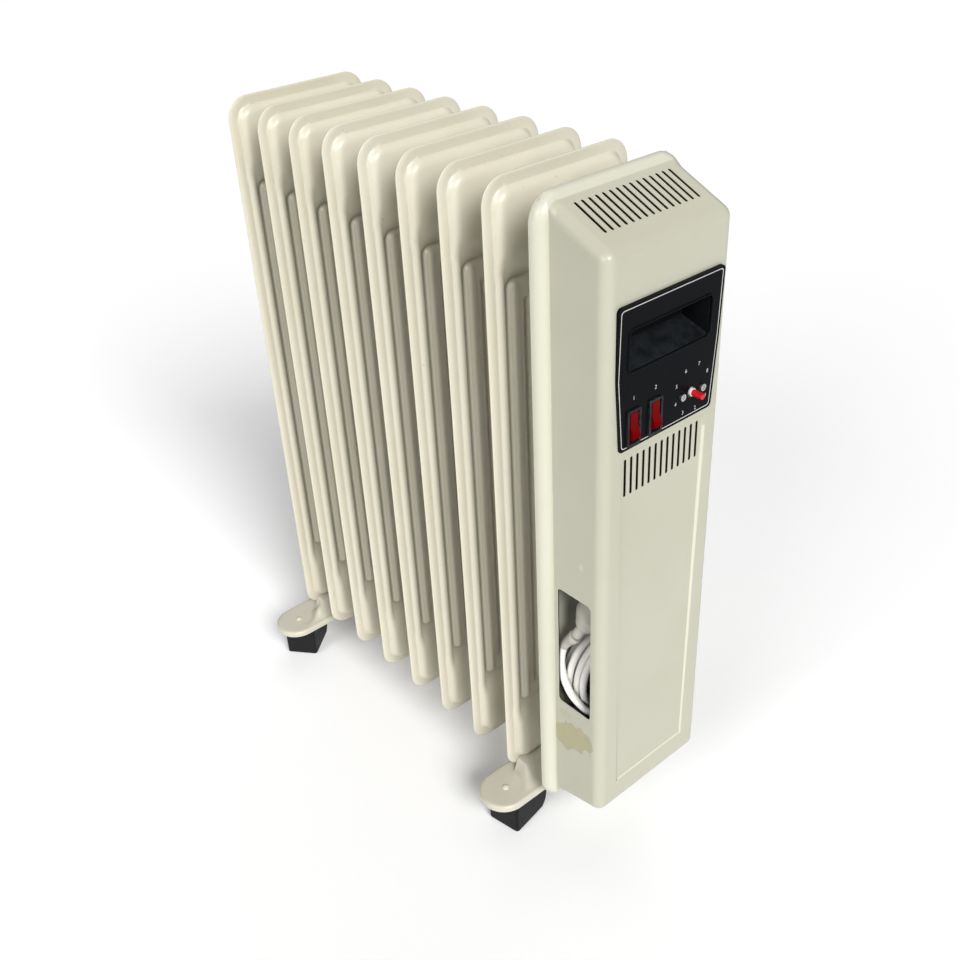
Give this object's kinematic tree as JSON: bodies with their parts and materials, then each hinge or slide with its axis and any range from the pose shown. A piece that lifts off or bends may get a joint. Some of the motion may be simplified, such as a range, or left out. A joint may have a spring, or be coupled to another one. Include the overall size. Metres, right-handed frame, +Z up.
{
  "type": "oil-filled radiator",
  "caption": "Oil-filled column radiator with pressed steel fins, a slim control casing with rocker switches and a bare thermostat spindle, on swivel casters.",
  "frame": {"origin": "on the floor, in the middle of the bounding box", "axes": "-Y is the control panel's side, +Y runs along the fins to the rear, +X is to the right as seen from the panel, +Z is up"},
  "size_m": [0.24, 0.51, 0.641],
  "materials": {
    "enamel": "gloss",
    "casing_paint": "semi-gloss",
    "zinc": "satin",
    "black_plastic": "satin",
    "panel_black": "semi-gloss",
    "red_plastic": "gloss",
    "white_plastic": "satin",
    "cord_rubber": "matte",
    "element_steel": "satin",
    "wheel_plastic": "matte"
  },
  "bodies": {
    "radiator": {"fin_1": "enamel", "fin_2": "enamel", "fin_3": "enamel", "fin_4": "enamel", "fin_5": "enamel", "fin_6": "enamel", "fin_7": "enamel", "fin_8": "enamel", "oil_pipes_top": "enamel", "oil_pipes_bottom": "enamel", "header_caps": "enamel", "casing_post": "enamel", "heater_boss": "enamel", "heater_tubes": "element_steel", "heater_flange": "element_steel", "heater_terminals": "white_plastic", "casing_shell": "casing_paint", "casing_back": "casing_paint", "control_plate": "panel_black", "grip_pocket": "black_plastic", "switch_1_housing": "black_plastic", "switch_2_housing": "black_plastic", "thermostat_body": "zinc", "thermostat_bush": "white_plastic", "thermostat_screws": "zinc", "bay_bracket": "casing_paint", "cord_gland": "black_plastic", "cord_lead": "cord_rubber", "cord_coil": "cord_rubber", "cord_tail": "cord_rubber", "power_plug": "white_plastic", "plug_pins": "zinc", "front_foot": "enamel", "rear_foot": "enamel", "front_clamp": "zinc", "rear_clamp": "zinc", "clamp_nuts": "zinc", "caster_stems": "enamel"},
    "rocker_1": {"switch_1_rocker": "red_plastic"},
    "rocker_2": {"switch_2_rocker": "red_plastic"},
    "spindle": {"thermostat_spindle": "red_plastic"},
    "caster_front_left": {"hood_front_left": "black_plastic"},
    "wheels_front_left": {"wheel_front_left": "wheel_plastic", "axle_front_left": "zinc"},
    "caster_front_right": {"hood_front_right": "black_plastic"},
    "wheels_front_right": {"wheel_front_right": "wheel_plastic", "axle_front_right": "zinc"},
    "caster_rear_left": {"hood_rear_left": "black_plastic"},
    "wheels_rear_left": {"wheel_rear_left": "wheel_plastic", "axle_rear_left": "zinc"},
    "caster_rear_right": {"hood_rear_right": "black_plastic"},
    "wheels_rear_right": {"wheel_rear_right": "wheel_plastic", "axle_rear_right": "zinc"}
  },
  "joints": [
    {"name": "switch_1_rock", "type": "hinge", "parent": "radiator", "child": "rocker_1", "pos_m": [-0.037, -0.2421, 0.474], "axis": [1, 0, 0], "range_deg": [0, 22]},
    {"name": "switch_2_rock", "type": "hinge", "parent": "radiator", "child": "rocker_2", "pos_m": [-0.0136, -0.2421, 0.474], "axis": [1, 0, 0], "range_deg": [0, 22]},
    {"name": "thermostat_turn", "type": "hinge", "parent": "radiator", "child": "spindle", "pos_m": [0.0282, -0.24332, 0.4775], "axis": [0, 1, 0], "range_deg": [0, 297]},
    {"name": "swivel_front_left", "type": "hinge", "parent": "radiator", "child": "caster_front_left", "pos_m": [-0.0885, -0.14102, 0.036], "axis": [0, 0, 1], "continuous": true},
    {"name": "roll_front_left", "type": "hinge", "parent": "caster_front_left", "child": "wheels_front_left", "pos_m": [-0.06979, -0.13772, 0.0205], "axis": [-0.1736, 0.9848, 0], "continuous": true},
    {"name": "swivel_front_right", "type": "hinge", "parent": "radiator", "child": "caster_front_right", "pos_m": [0.0885, -0.14102, 0.036], "axis": [0, 0, 1], "continuous": true},
    {"name": "roll_front_right", "type": "hinge", "parent": "caster_front_right", "child": "wheels_front_right", "pos_m": [0.07015, -0.1361, 0.0205], "axis": [-0.2588, -0.9659, 0], "continuous": true},
    {"name": "swivel_rear_left", "type": "hinge", "parent": "radiator", "child": "caster_rear_left", "pos_m": [-0.094, 0.21498, 0.036], "axis": [0, 0, 1], "continuous": true},
    {"name": "roll_rear_left", "type": "hinge", "parent": "caster_rear_left", "child": "wheels_rear_left", "pos_m": [-0.07923, 0.22694, 0.0205], "axis": [-0.6293, 0.7771, 0], "continuous": true},
    {"name": "swivel_rear_right", "type": "hinge", "parent": "radiator", "child": "caster_rear_right", "pos_m": [0.094, 0.21498, 0.036], "axis": [0, 0, 1], "continuous": true},
    {"name": "roll_rear_right", "type": "hinge", "parent": "caster_rear_right", "child": "wheels_rear_right", "pos_m": [0.07678, 0.20695, 0.0205], "axis": [0.4226, -0.9063, 0], "continuous": true}
  ]
}
